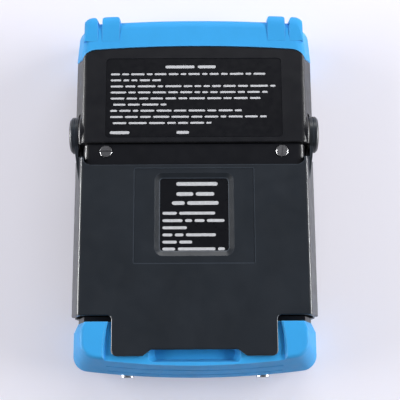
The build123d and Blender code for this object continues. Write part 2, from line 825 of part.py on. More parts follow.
def tongue_outline():
    """The plate's tongue in plan, with the finger notch in its lower edge."""
    shoulder = -plate_shoulder
    end = -tongue_end
    with BuildSketch(Plane.XY.offset(plate_z - stand_wall)) as outline:
        with BuildLine():
            Polyline(
                (-tongue_half_width, shoulder + 4 * tongue_root_radius),
                (-tongue_half_width, end),
                (-notch_mouth, end),
                (-notch_half_width, end + notch_depth),
                (notch_half_width, end + notch_depth),
                (notch_mouth, end),
                (tongue_half_width, end),
                (tongue_half_width, shoulder + 4 * tongue_root_radius),
                close=True,
            )
        make_face()
        ends = outline.vertices().filter_by(lambda v: abs(v.Y - end) < same_place)
        fillet(ends.filter_by(lambda v: abs(v.X) > notch_mouth + 1), tongue_corner)
        for x in (notch_mouth, notch_half_width):
            bends = outline.vertices().filter_by(lambda v: abs(abs(v.X) - x) < same_place)
            fillet(bends, notch_corner)
    return outline.sketch


inner_corner_x = flange_x(plate_z) - 2 * stand_wall / 3
web_x = stand_half_width - (arm_web_z - parting_z) * back_slope + stand_gap
ramp_x = flange_x(arm_high_z)
ramp_slope = (hub_outer - ramp_x) / (arm_ramp_start - arm_ramp_end)
with BuildPart() as arms:
    with BuildSketch(Plane.XY.offset(arm_low_z)):
        with BuildLine():
            Polyline((hub_face, pivot_y), (hub_outer, pivot_y), (hub_outer, arm_ramp_start),
                     (hub_face, arm_ramp_start - stand_wall / ramp_slope), close=True)
        make_face()
    extrude(amount=arm_high_z - arm_low_z)
    with BuildSketch(Plane.XY.offset(arm_web_z)):
        with BuildLine():
            Polyline((web_x, plate_top + flange_overrun),
                     (hub_outer - stand_wall / 2, plate_top + flange_overrun),
                     (hub_outer - stand_wall / 2, arm_ramp_start - stand_wall / 2 / ramp_slope),
                     (ramp_x, arm_ramp_end), (web_x, arm_ramp_end), close=True)
        make_face()
    extrude(amount=arm_high_z - arm_web_z)
    mirror(about=Plane.YZ)

with BuildPart() as stand:
    with BuildSketch(Plane.XZ.offset(-plate_top - flange_overrun)) as channel:
        with BuildLine():
            Polyline(
                (-flange_x(flange_z), flange_z),
                (-flange_x(plate_z), plate_z),
                (flange_x(plate_z), plate_z),
                (flange_x(flange_z), flange_z),
                close=True,
            )
        make_face()
        fillet(channel.vertices().group_by(Axis.Y)[-1], plate_edge_radius)
    extrude(amount=plate_top + flange_overrun + plate_shoulder)
    with BuildSketch(Plane.XZ.offset(-plate_top - flange_overrun)):
        wall_x = stand_wall / math.cos(math.radians(rear_draft))
        with BuildLine():
            Polyline(
                (-flange_x(flange_z - overshoot) + wall_x, flange_z - overshoot),
                (-flange_x(plate_z - stand_wall) + wall_x, plate_z - stand_wall),
                (flange_x(plate_z - stand_wall) - wall_x, plate_z - stand_wall),
                (flange_x(flange_z - overshoot) - wall_x, flange_z - overshoot),
                close=True,
            )
        make_face()
    extrude(amount=plate_top + flange_overrun + plate_shoulder, mode=Mode.SUBTRACT)
    with BuildSketch(Plane.XY.offset(flange_z - overshoot)) as above_plate:
        with BuildLine():
            Polyline((-inner_corner_x, plate_top), (inner_corner_x, plate_top), (inner_corner_x, pivot_y),
                     (-inner_corner_x, pivot_y), close=True)
        make_face()
        fillet(above_plate.vertices().group_by(Axis.Y)[0], plate_corner)
    extrude(amount=back_z, mode=Mode.SUBTRACT)
    with BuildSketch(Plane.YZ.offset(-body_top)) as above_arms:
        with Locations((plate_top + plate_corner + pivot_y, arm_high_z + pivot_y)):
            Rectangle(2 * pivot_y, 2 * pivot_y)
        fillet(above_arms.vertices().group_by(Axis.X)[0].group_by(Axis.Y)[0], arm_root_radius)
    extrude(amount=2 * body_top, mode=Mode.SUBTRACT)
    extrude(tongue_outline(), amount=stand_wall)
    corners = stand.edges().filter_by(Axis.Z).filter_by(
        lambda e: abs(abs(e.center().X) - tongue_half_width) < same_place
        and abs(e.center().Y + plate_shoulder) < same_place)
    fillet(corners, tongue_root_radius)
    tongue_edges = stand.edges().group_by(Axis.Z)[-1].filter_by(
        lambda e: e.center().Y < -plate_shoulder - tongue_root_radius / 2)
    fillet(tongue_edges, tongue_edge_radius)
    add(side_disc(hub_radius, hub_face, hub_outer))
    add(arms.part)
    add(side_disc(shoulder_radius + running_clearance, hub_face - 1, hub_outer + 1), mode=Mode.SUBTRACT)
    with BuildSketch(Plane.XY.offset(plate_z)):
        with Locations((0, (panel_step_top - panel_step_bottom) / 2)):
            RectangleRounded(2 * panel_step_half_width, panel_step_top + panel_step_bottom,
                             panel_step_corner)
    extrude(amount=-panel_step_depth, mode=Mode.SUBTRACT)
    window_centre = (0, (window_top - window_bottom) / 2)
    window_size = (2 * window_half_width, window_top + window_bottom)
    step_z = plate_z - panel_step_depth
    with BuildSketch(Plane.XY.offset(step_z)):
        with Locations(window_centre):
            RectangleRounded(*window_size, window_corner)
    with BuildSketch(Plane.XY.offset(plate_z - stand_wall)):
        with Locations(window_centre):
            RectangleRounded(window_size[0] - 2 * window_bevel, window_size[1] - 2 * window_bevel,
                             window_corner - window_bevel)
    loft(ruled=True, mode=Mode.SUBTRACT)
save(stand, "stand")

# Pivots: a shoulder screw, two washers and a cap on each side
head_face = hub_outer + wave_washer_thickness
cap_back = head_face + screw_head_height + cap_gap
cap_face = cap_back + cap_wall
with BuildPart() as friction_washers:
    add(side_disc(washer_radius, boss_face, hub_face))
    add(side_disc(shoulder_radius + running_clearance, boss_face, hub_face), mode=Mode.SUBTRACT)
save(friction_washers, "friction_washers")

with BuildPart() as wave_washers:
    add(side_disc(screw_head_radius, hub_outer, head_face))
    add(side_disc(shoulder_radius + running_clearance, hub_outer, head_face), mode=Mode.SUBTRACT)
save(wave_washers, "wave_washers")

with BuildPart() as pivot_screws:
    add(side_disc(shoulder_radius, boss_face, head_face))
    add(side_disc(screw_head_radius, head_face, head_face + screw_head_height))
    add(side_disc(screw_thread_radius - running_clearance, boss_face - screw_thread_length + touch_gap,
                  boss_face))
    with BuildSketch(Plane.XY.offset(pivot_z - coin_slot_width / 2)):
        for side in (-1, 1):
            with Locations((side * (head_face + screw_head_height), pivot_y)):
                Rectangle(2 * coin_slot_depth, 3 * screw_head_radius)
    extrude(amount=coin_slot_width, mode=Mode.SUBTRACT)
save(pivot_screws, "pivot_screws")

for side, direction in (("left", -1), ("right", 1)):
    with BuildPart() as pivot_cap:
        with BuildSketch(Plane(origin=(0, pivot_y, pivot_z), x_dir=(direction, 0, 0), z_dir=(0, 1, 0))):
            with BuildLine():
                seat = Polyline(
                    (cap_back, 0),
                    (cap_back, hub_radius - cap_wall),
                    (hub_outer, hub_radius - cap_wall),
                    (hub_outer, hub_radius - cap_chamfer),
                    (hub_outer + cap_chamfer, hub_radius),
                    (cap_face - cap_edge_radius, hub_radius),
                )
                edge = Line(seat @ 1, (cap_face, hub_radius - cap_edge_radius))
                dome = ThreePointArc(edge @ 1, (cap_face + cap_dome_share * cap_dome, hub_radius / 2),
                                     (cap_face + cap_dome, 0))
                Line(dome @ 1, seat @ 0)
            make_face()
        revolve(axis=Axis((0, pivot_y, pivot_z), (1, 0, 0)))
        rim = pivot_cap.edges().filter_by(GeomType.CIRCLE).filter_by(
            lambda e: e.radius > hub_radius - cap_edge_radius - same_place
            and abs(e.center().X) > head_face)
        fillet(rim.sort_by(lambda e: abs(e.center().X))[-2:], cap_edge_radius / 2)
    save(pivot_cap, f"pivot_cap_{side}")

# Boots
def rounded_back(half_width, high, back, radius, corner=corner_radius):
    """Back half of a boot's outside with its back edges rounded."""
    with BuildPart() as form:
        add(back_half(half_width, body_bottom, high, back, corner=corner))
        fillet(form.edges().group_by(Axis.Z)[-1], radius)
    return form.part


def front_opening(half_width):
    """Space inside a boot's front rim."""
    opening = front_half(half_width - rim_width, body_bottom - rim_width, body_top - rim_width, -1)
    return opening & slab(-body_bottom, body_top, -1, panel_z)


with BuildPart() as case_outside:
    add(front_form(-touch_gap, panel_z - touch_gap))
    add(back_form(-touch_gap, pack_floor_z + touch_gap, case_bottom_back_z + touch_gap,
                  back_z + touch_gap, top_seat_z + touch_gap))

block_back_z = top_boot_back_z + block_back_rise
# Wedge of air above the blocks where they fade out on the back
with BuildPart() as fade:
    with BuildSketch(Plane.YZ.offset(-body_top)):
        with BuildLine():
            Polyline((block_fade - 1, top_boot_back_z), (block_full, block_back_z),
                     (block_full, block_back_z + overshoot), (block_fade - 1, block_back_z + overshoot),
                     close=True)
        make_face()
    extrude(amount=2 * body_top)

end_slope = (body_bottom - raised_end) / (raised_end_z - parting_z)


def raised_rib(x_low, x_high, corner):
    """Upright rib on the top end with round outer corners, following the end's slopes."""
    sections = []
    high_z = back_z + overshoot
    for z, y_end in ((0, body_bottom - parting_z * front_slope), (parting_z, body_bottom),
                     (high_z, body_bottom - (high_z - parting_z) * end_slope)):
        with BuildSketch(Plane.XY.offset(z)) as section:
            with BuildLine():
                Polyline((x_low, block_fade), (x_low, y_end), (x_high, y_end), (x_high, block_fade),
                         close=True)
            make_face()
            fillet(section.vertices().group_by(Axis.Y)[-1], corner)
        sections.append(section.sketch)
    return loft(sections, ruled=True, mode=Mode.PRIVATE)


with BuildPart() as raised:
    add(raised_rib(block_inner, block_outer, block_corner))
    add(raised_rib(ear_inner, ear_outer, ear_corner))
    mirror(about=Plane.YZ)
raised_form = (rounded_back(boot_half_width + raised_margin, body_top + raised_reach, block_back_z,
                            top_boot_edge_radius, raised_corner)
               + slab(block_fade, body_bottom + 1, 0, parting_z))

with BuildPart() as top_boot:
    add(strip_of(rounded_back(boot_half_width, body_top, top_boot_back_z, top_boot_edge_radius),
                 0, body_top + overshoot))
    add((raised.part & raised_form) - fade.part)
    add(strip_of(front_half(boot_half_width, body_bottom, body_top, 0), 0, body_top + overshoot))
    add(beside_seam(body_top + 4 * overshoot, 0, -1, back_z + overshoot), mode=Mode.INTERSECT)
    add(front_opening(boot_half_width), mode=Mode.SUBTRACT)
    add(case_outside.part, mode=Mode.SUBTRACT)
    add(slab(bay_depth_y, body_top + overshoot, bay_low_z, bay_high_z, bay_half_width),
        mode=Mode.SUBTRACT)
save(top_boot, "top_boot")

channel_z = plate_z - stand_wall - channel_gap


def between_lobes(z, extra):
    """Plan of the space between the two lobes, with their curved inner walls moved outwards."""
    middle_y = -(bottom_boot_start + lobe_curve_end) / 2
    points = [(lobe_mouth + extra, -bottom_boot_start + 1), (lobe_inner - lobe_curve + extra, middle_y),
              (lobe_inner + extra, -lobe_curve_end), (lobe_inner + extra, -body_bottom - overshoot)]
    mirrored = [(-x, y) for x, y in points]
    with BuildSketch(Plane.XY.offset(z)) as plan:
        with BuildLine():
            ThreePointArc(*points[:3])
            Polyline(points[2], points[3], mirrored[3], mirrored[2])
            ThreePointArc(*mirrored[:3])
            Line(mirrored[0], points[0])
        make_face()
    return plan.sketch


with BuildPart() as lobe_space:
    extrude(between_lobes(channel_z, 0), amount=back_z - channel_z)
    bevel_low = lobe_z - lobe_inner_bevel
    loft([between_lobes(bevel_low, 0), between_lobes(lobe_z + 1, lobe_inner_bevel + 1)], ruled=True)

corner_start = -bottom_boot_start + 1
corner_end = -bottom_boot_start - 2 * lobe_corner_length
corner_back_z = back_z + overshoot
with BuildPart() as lobe_corners:
    for z, reach in ((-1, bottom_boot_half_width - parting_z * front_slope),
                     (parting_z, bottom_boot_half_width),
                     (corner_back_z, bottom_boot_half_width - (corner_back_z - parting_z) * back_slope)):
        with BuildSketch(Plane.XY.offset(z)):
            with BuildLine():
                Polyline((reach - lobe_corner_width, corner_start), (body_top, corner_start),
                         (body_top, corner_end), (reach + lobe_corner_width, corner_end), close=True)
            make_face()
    loft(ruled=True)
    mirror(about=Plane.YZ)

with BuildPart() as bottom_boot:
    add(strip_of(rounded_back(bottom_boot_half_width, body_top, lobe_z, lobe_edge_radius),
                 -body_bottom - overshoot, -bottom_boot_start))
    add(strip_of(front_half(bottom_boot_half_width, body_bottom, body_top, 0),
                 -body_bottom - overshoot, -bottom_boot_start))
    add(lobe_space.part, mode=Mode.SUBTRACT)
    add(lobe_corners.part, mode=Mode.SUBTRACT)
    add(front_opening(bottom_boot_half_width), mode=Mode.SUBTRACT)
    add(case_outside.part, mode=Mode.SUBTRACT)
    finger_centre = (0, -(finger_top + finger_bottom) / 2)
    finger_size = (2 * finger_half_width, finger_bottom - finger_top)
    with BuildSketch(Plane.XY.offset(channel_z)):
        with Locations(finger_centre):
            RectangleRounded(*finger_size, finger_corner)
    with BuildSketch(Plane.XY.offset(channel_z - finger_depth)):
        with Locations(finger_centre):
            RectangleRounded(finger_size[0] - 2 * finger_bevel, finger_size[1] - finger_bevel,
                             finger_corner)
    loft(ruled=True, mode=Mode.SUBTRACT)
    inner_ring = back_half(bottom_boot_half_width, body_bottom, body_top, lobe_z, end_groove_depth)
    for z in end_groove_heights:
        end_ring = slab(-body_bottom - overshoot, -lobe_curve_end, z - end_groove_width / 2,
                        z + end_groove_width / 2, lobe_inner)
        add(end_ring - inner_ring, mode=Mode.SUBTRACT)
    screw_seat_y = boot_end_y + boot_screw_proud - boot_screw_head_height
    for radius, start in ((boot_screw_head_radius + key_gap, screw_seat_y),
                          (boot_screw_radius + key_gap, screw_seat_y - 2 * boot_wall)):
        with BuildSketch(Plane.XZ.offset(start)):
            with Locations((-boot_screw_x, boot_screw_z), (boot_screw_x, boot_screw_z)):
                Circle(radius)
        extrude(amount=2 * boot_wall + overshoot, mode=Mode.SUBTRACT)
save(bottom_boot, "bottom_boot")

with BuildPart() as boot_screws:
    with BuildSketch(Plane.XZ.offset(screw_seat_y)):
        with Locations((-boot_screw_x, boot_screw_z), (boot_screw_x, boot_screw_z)):
            Circle(boot_screw_head_radius)
    extrude(amount=boot_screw_head_height)
    fillet(boot_screws.edges().group_by(Axis.Y)[0], boot_screw_edge_radius)
    with BuildSketch(Plane.XZ.offset(screw_seat_y)):
        with Locations((-boot_screw_x, boot_screw_z), (boot_screw_x, boot_screw_z)):
            Circle(boot_screw_radius - running_clearance)
    extrude(amount=-boot_screw_length)
save(boot_screws, "boot_screws")


# Display: window, module and the frame that holds it
with BuildPart() as display_window:
    with BuildSketch(Plane.XY.offset(panel_z)):
        with Locations((0, window_y)):
            RectangleRounded(window_width, window_height, panel_window_corner)
    extrude(amount=window_thickness)
save(display_window, "display_window")

with BuildPart() as display_module:
    with BuildSketch(Plane.XY.offset(display_z)):
        with Locations((0, window_y)):
            Rectangle(display_width, display_height)
    extrude(amount=display_thickness)
save(display_module, "display_module")

with BuildPart() as display_frame:
    with BuildSketch(Plane.XY.offset(display_z + display_thickness)):
        with Locations((0, window_y)):
            RectangleRounded(display_width + 2 * frame_margin, display_height - 2 * frame_inset,
                             frame_corner)
            with GridLocations(display_width / 2, 1, 2, 1):
                RectangleRounded(display_width / 2 - frame_rib, display_height - 2 * frame_window_inset,
                                 frame_window_corner, mode=Mode.SUBTRACT)
    extrude(amount=frame_thickness)
save(display_frame, "display_frame")

# Boards
main_board_z = frame_back_z + standoff_length
with BuildPart() as board_standoffs:
    with BuildSketch(Plane.XY.offset(frame_back_z)):
        with Locations(*frame_post_places):
            RegularPolygon(standoff_radius, hex_sides)
    extrude(amount=standoff_length)
save(board_standoffs, "board_standoffs")

with BuildPart() as main_board:
    with BuildSketch(Plane.XY.offset(main_board_z)):
        with Locations((0, window_y)):
            RectangleRounded(display_width + 2 * board_margin, display_height - 2 * board_inset,
                             board_corner)
    extrude(amount=board_thickness)
    for x, y, width, height, rise in main_board_parts:
        with BuildSketch(Plane.XY.offset(main_board_z + board_thickness)):
            with Locations((x, window_y + y)):
                Rectangle(width, height)
        extrude(amount=rise)
save(main_board, "main_board")

pulser_z = main_board_z + board_thickness + standoff_length
pulser_post_places = [
    (x, pulser_y + y)
    for x in (-pulser_post_x, pulser_post_x)
    for y in (-pulser_post_rise, pulser_post_rise)
]
with BuildPart() as pulser_standoffs:
    with BuildSketch(Plane.XY.offset(main_board_z + board_thickness)):
        with Locations(*pulser_post_places):
            RegularPolygon(standoff_radius, hex_sides)
    extrude(amount=standoff_length)
save(pulser_standoffs, "pulser_standoffs")

with BuildPart() as pulser_board:
    with BuildSketch(Plane.XY.offset(pulser_z)):
        with Locations((0, pulser_y)):
            RectangleRounded(pulser_width, pulser_height, board_corner)
    extrude(amount=board_thickness)
save(pulser_board, "pulser_board")

with BuildPart() as shield_can:
    with BuildSketch(Plane.XY.offset(pulser_z + board_thickness)):
        with Locations((0, pulser_y)):
            RectangleRounded(shield_width, shield_length, shield_corner)
    extrude(amount=shield_height)
    bottom_face = shield_can.faces().sort_by(Axis.Z)[0]
    offset(amount=-shield_thickness, openings=bottom_face)
save(shield_can, "shield_can")

# Keypad
keypad_width = 2 * (stand_half_width - wall - keypad_margin)
mat_z = board_z - mat_thickness


def keypad_sheet(plane, light_gap):
    """Outline of the keypad's mat or board, with room for the posts and the rotary encoder."""
    with BuildSketch(plane) as sheet:
        with Locations((0, keypad_y)):
            RectangleRounded(keypad_width, keypad_height, keypad_corner)
        with Locations((knob_x, knob_y)):
            Rectangle(encoder_size + 2 * key_gap, encoder_size + 2 * key_gap, mode=Mode.SUBTRACT)
        with Locations(*power_post_places):
            Circle(post_radius + key_gap, mode=Mode.SUBTRACT)
        if light_gap > 0:
            with Locations(*board_post_places):
                Circle(post_radius + key_gap, mode=Mode.SUBTRACT)
            with Locations(*light_places):
                Circle(light_radius + light_gap, mode=Mode.SUBTRACT)
    return sheet.sketch


with BuildPart() as key_mat:
    extrude(keypad_sheet(Plane.XY.offset(mat_z), key_gap), amount=mat_thickness)
save(key_mat, "key_mat")

with BuildPart() as keypad_board:
    extrude(keypad_sheet(Plane.XY.offset(board_z), 0), amount=board_thickness)
save(keypad_board, "keypad_board")

with BuildPart() as status_lights:
    with BuildSketch(Plane.XY.offset(panel_z)):
        with Locations(*light_places):
            Circle(light_radius)
    extrude(amount=board_z - panel_z)
save(status_lights, "status_lights")


def save_key(name, x, y, width, height, corner):
    """Key cap that slides in its panel hole, with a flange behind the panel."""
    with BuildPart() as key:
        with BuildSketch(Plane.XY.offset(panel_z - key_proud)):
            with Locations((x, y)):
                RectangleRounded(width, height, corner)
        extrude(amount=key_proud + panel_wall)
        fillet(key.edges().group_by(Axis.Z)[0], key_top_radius)
        with BuildSketch(Plane.XY.offset(display_z)):
            with Locations((x, y)):
                RectangleRounded(width + 2 * (key_gap + key_flange), height + 2 * (key_gap + key_flange),
                                 corner)
        extrude(amount=key_flange_thickness)
    save(key, name)


for number, x in enumerate(soft_key_x, start=1):
    save_key(f"soft_key_{number}", x, soft_key_y, soft_key_width, soft_key_height, soft_key_corner)
for number, (x, y) in enumerate(pad_places, start=1):
    save_key(f"pad_key_{number}", x, y, pad_key_width, pad_key_height, pad_key_corner)
save_key("power_key", knob_x, power_key_y, 2 * power_key_radius, 2 * power_key_radius,
         power_key_radius - round_limit)

# Rotary control
with BuildPart() as encoder:
    with BuildSketch(Plane.XY.offset(display_z)):
        with Locations((knob_x, knob_y)):
            Rectangle(encoder_size, encoder_size)
    extrude(amount=encoder_depth)
    with BuildSketch(Plane.XY.offset(panel_z - nut_thickness - bushing_proud)):
        with Locations((knob_x, knob_y)):
            Circle(bushing_radius)
    extrude(amount=nut_thickness + bushing_proud + panel_wall)
    with BuildSketch(Plane.XY.offset(panel_z - nut_thickness - bushing_proud)):
        with Locations((knob_x, knob_y)):
            Circle(shaft_radius + running_clearance)
    extrude(amount=nut_thickness + bushing_proud + panel_wall + encoder_depth - shaft_bore_floor,
            mode=Mode.SUBTRACT)
save(encoder, "encoder")

with BuildPart() as encoder_nut:
    with BuildSketch(Plane.XY.offset(panel_z - nut_thickness)):
        with Locations((knob_x, knob_y)):
            RegularPolygon(bushing_radius + nut_rim, hex_sides)
            Circle(bushing_radius, mode=Mode.SUBTRACT)
    extrude(amount=nut_thickness)
save(encoder_nut, "encoder_nut")

knob_low_z = panel_z - knob_panel_gap - knob_height
with BuildPart() as encoder_shaft:
    with BuildSketch(Plane.XY.offset(knob_low_z + knob_top_wall)):
        with Locations((knob_x, knob_y)):
            Circle(shaft_radius)
    extrude(amount=display_z + encoder_depth - shaft_end_gap - knob_low_z - knob_top_wall)
save(encoder_shaft, "encoder_shaft")

with BuildPart() as knob:
    with BuildSketch(Plane.XY.offset(knob_low_z)):
        with Locations((knob_x, knob_y)):
            Circle(knob_radius)
            with PolarLocations(knob_radius, knob_grip_count):
                Circle(knob_flute_radius, mode=Mode.SUBTRACT)
    extrude(amount=knob_height)
    with BuildSketch(Plane.XY.offset(panel_z - knob_panel_gap)):
        with Locations((knob_x, knob_y)):
            Circle(knob_radius - knob_rim)
            Circle(shaft_radius + knob_hub_wall, mode=Mode.SUBTRACT)
    extrude(amount=knob_top_wall - knob_height, mode=Mode.SUBTRACT)
    with BuildSketch(Plane.XY.offset(panel_z - knob_panel_gap)):
        with Locations((knob_x, knob_y)):
            Circle(bushing_radius + knob_nut_room)
    extrude(amount=knob_panel_gap - nut_thickness - knob_nut_gap, mode=Mode.SUBTRACT)
    with BuildSketch(Plane.XY.offset(knob_low_z + knob_top_wall)):
        with Locations((knob_x, knob_y)):
            Circle(shaft_radius)
    extrude(amount=knob_height, mode=Mode.SUBTRACT)
    with BuildSketch(Plane.XY.offset(knob_low_z)):
        with Locations((knob_x + knob_radius * knob_dimple_place, knob_y)):
            Circle(knob_dimple_radius)
    extrude(amount=knob_dimple_depth, mode=Mode.SUBTRACT)
save(knob, "knob")

# Power board between the keypad and the battery pack
with BuildPart() as power_board:
    with BuildSketch(Plane.XY.offset(power_board_z)):
        with Locations((0, keypad_y)):
            RectangleRounded(2 * (power_post_x + power_board_margin), power_board_height, board_corner)
    extrude(amount=board_thickness)
save(power_board, "power_board")

power_top_z = power_board_z + board_thickness
with BuildPart() as battery_contacts:
    with BuildSketch(Plane.XY.offset(power_top_z)):
        with Locations((0, contact_y)):
            Rectangle(contact_width, contact_height)
    extrude(amount=pack_floor_z - contact_rise - power_top_z)
    with BuildSketch(Plane.XY.offset(pack_floor_z - contact_rise)):
        with Locations(*terminal_places):
            Circle(terminal_radius * contact_pin_share)
    extrude(amount=contact_rise)
save(battery_contacts, "battery_contacts")

with BuildPart() as buzzer:
    with BuildSketch(Plane.XY.offset(power_top_z)):
        with Locations(buzzer_place):
            Circle(buzzer_radius)
    extrude(amount=buzzer_height)
    with BuildSketch(Plane.XY.offset(power_top_z + buzzer_height)):
        with Locations(buzzer_place):
            Circle(buzzer_hole_radius)
    extrude(amount=-buzzer_hole_depth, mode=Mode.SUBTRACT)
save(buzzer, "buzzer")

# Sockets in the bay at the top end
bay_face = Plane.XZ.offset(-bay_depth_y)
bay_back = Plane.XZ.offset(wall - bay_depth_y)
for side, x in (("left", -socket_x), ("right", socket_x)):
    with BuildPart() as probe_socket:
        with BuildSketch(bay_face):
            with Locations((x, socket_z)):
                Circle(socket_flange_radius)
        extrude(amount=-socket_flange_thickness)
        with BuildSketch(bay_face):
            with Locations((x, socket_z)):
                Circle(socket_radius)
        extrude(amount=-socket_length)
        with BuildSketch(bay_face):
            with Locations((x, socket_z)):
                Circle(socket_radius)
        extrude(amount=wall + socket_nut_thickness + socket_tail)
        with BuildSketch(Plane.XZ.offset(-bay_depth_y - socket_length)):
            with Locations((x, socket_z)):
                Circle(socket_bore_radius)
        extrude(amount=socket_bore_depth, mode=Mode.SUBTRACT)
    save(probe_socket, f"probe_socket_{side}")

with BuildPart() as socket_nuts:
    with BuildSketch(bay_back):
        with Locations((-socket_x, socket_z), (socket_x, socket_z)):
            RegularPolygon(socket_flange_radius, hex_sides)
            Circle(socket_radius, mode=Mode.SUBTRACT)
    extrude(amount=socket_nut_thickness)
save(socket_nuts, "socket_nuts")

power_body = 2 * (power_socket_radius + power_socket_margin)
with BuildPart() as power_socket:
    with BuildSketch(bay_back):
        with Locations((power_socket_x, socket_z)):
            RectangleRounded(power_body, power_body, power_socket_margin)
    extrude(amount=socket_body_depth)
    with BuildSketch(bay_back):
        with Locations((power_socket_x, socket_z)):
            Circle(power_socket_radius)
    extrude(amount=-wall - power_socket_proud)
    with BuildSketch(Plane.XZ.offset(-bay_depth_y - power_socket_proud)):
        with Locations((power_socket_x, socket_z)):
            Circle(power_socket_radius - power_socket_rim)
            Circle(power_pin_radius, mode=Mode.SUBTRACT)
    extrude(amount=power_socket_bore, mode=Mode.SUBTRACT)
save(power_socket, "power_socket")

with BuildPart() as usb_socket:
    with BuildSketch(bay_back):
        with Locations((usb_socket_x, socket_z)):
            Rectangle(usb_width + 2 * usb_shell, usb_height + 2 * usb_shell)
    extrude(amount=socket_body_depth)
    with BuildSketch(bay_back):
        with Locations((usb_socket_x, socket_z)):
            RectangleRounded(usb_width, usb_height, usb_corner)
    extrude(amount=-wall - usb_wall)
    with BuildSketch(Plane.XZ.offset(-bay_depth_y - usb_wall)):
        with Locations((usb_socket_x, socket_z)):
            Rectangle(usb_width - 2 * usb_wall, usb_height - 2 * usb_wall)
            with Locations((0, usb_tongue_rise)):
                Rectangle(usb_width - 2 * usb_tongue_inset, usb_tongue_thickness, mode=Mode.SUBTRACT)
    extrude(amount=usb_bore, mode=Mode.SUBTRACT)
save(usb_socket, "usb_socket")
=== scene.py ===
import json
import math
import random

import bpy
from mathutils import Matrix, Vector


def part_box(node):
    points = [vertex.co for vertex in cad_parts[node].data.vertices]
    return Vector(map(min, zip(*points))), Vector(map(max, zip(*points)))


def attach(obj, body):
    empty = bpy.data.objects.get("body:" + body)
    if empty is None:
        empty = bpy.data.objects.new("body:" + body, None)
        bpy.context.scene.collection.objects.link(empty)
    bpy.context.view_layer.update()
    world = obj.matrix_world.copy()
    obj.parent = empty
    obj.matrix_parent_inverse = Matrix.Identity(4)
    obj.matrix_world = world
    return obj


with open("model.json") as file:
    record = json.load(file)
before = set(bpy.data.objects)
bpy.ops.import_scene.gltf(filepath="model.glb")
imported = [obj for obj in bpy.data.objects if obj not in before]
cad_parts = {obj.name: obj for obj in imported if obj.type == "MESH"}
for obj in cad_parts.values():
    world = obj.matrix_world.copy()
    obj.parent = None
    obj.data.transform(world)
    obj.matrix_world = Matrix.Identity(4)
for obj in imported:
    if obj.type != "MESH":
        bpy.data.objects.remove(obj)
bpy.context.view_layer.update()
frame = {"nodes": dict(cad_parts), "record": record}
nodes = frame["nodes"]
mm = 0.001

# Camera, fitted to the photograph, which is 400 pixels square
photo_size = 400
focal_pixels = 837.0
sensor_mm = 36.0
camera_place = Vector((4.06, -131.4, 627.0)) * mm
camera_target = Vector((4.06, -7.9, 45.0)) * mm
camera_roll = math.radians(-0.27)
nearest_view = 0.01         # metres

# Colours, linear
boot_blue = (0.047, 0.385, 0.830)
cover_black = (0.0050, 0.0056, 0.0085)
stand_slate = (0.0190, 0.0235, 0.0300)
pack_black = (0.0060, 0.0066, 0.0090)
label_black = (0.0050, 0.0054, 0.0075)
ink_white = (0.62, 0.63, 0.66)
screw_grey = (0.36, 0.36, 0.37)
spring_grey = (0.55, 0.55, 0.55)
nylon_ivory = (0.62, 0.60, 0.54)
gasket_black = (0.02, 0.02, 0.02)
window_black = (0.012, 0.014, 0.018)
pressed_grey = (0.55, 0.55, 0.56)
mask_green = (0.015, 0.13, 0.05)
key_black = (0.035, 0.036, 0.040)
soft_key_grey = (0.20, 0.21, 0.23)
knob_black = (0.018, 0.018, 0.021)
plated_grey = (0.68, 0.68, 0.66)
brass_yellow = (0.72, 0.52, 0.22)
housing_black = (0.022, 0.022, 0.024)
frosted_white = (0.72, 0.76, 0.72)
sleeve_blue = (0.03, 0.16, 0.42)
floor_pale = (0.915, 0.900, 0.985)
floor_glow = 0.28           # share of the floor that the camera sees as evenly lit
floor_reach = 3.0           # metres from its middle to each side
sky_zenith = (0.12, 0.12, 0.14)
sky_horizon = (0.55, 0.55, 0.58)
sky_behind_camera = 0.02    # strength of the sky on the camera's side
sky_beyond = 1.18           # and beyond the top end


# Materials. Noise scales are per metre, bump depths in metres

def tinted(colour, factor):
    return tuple(min(1.0, channel * factor) for channel in colour)


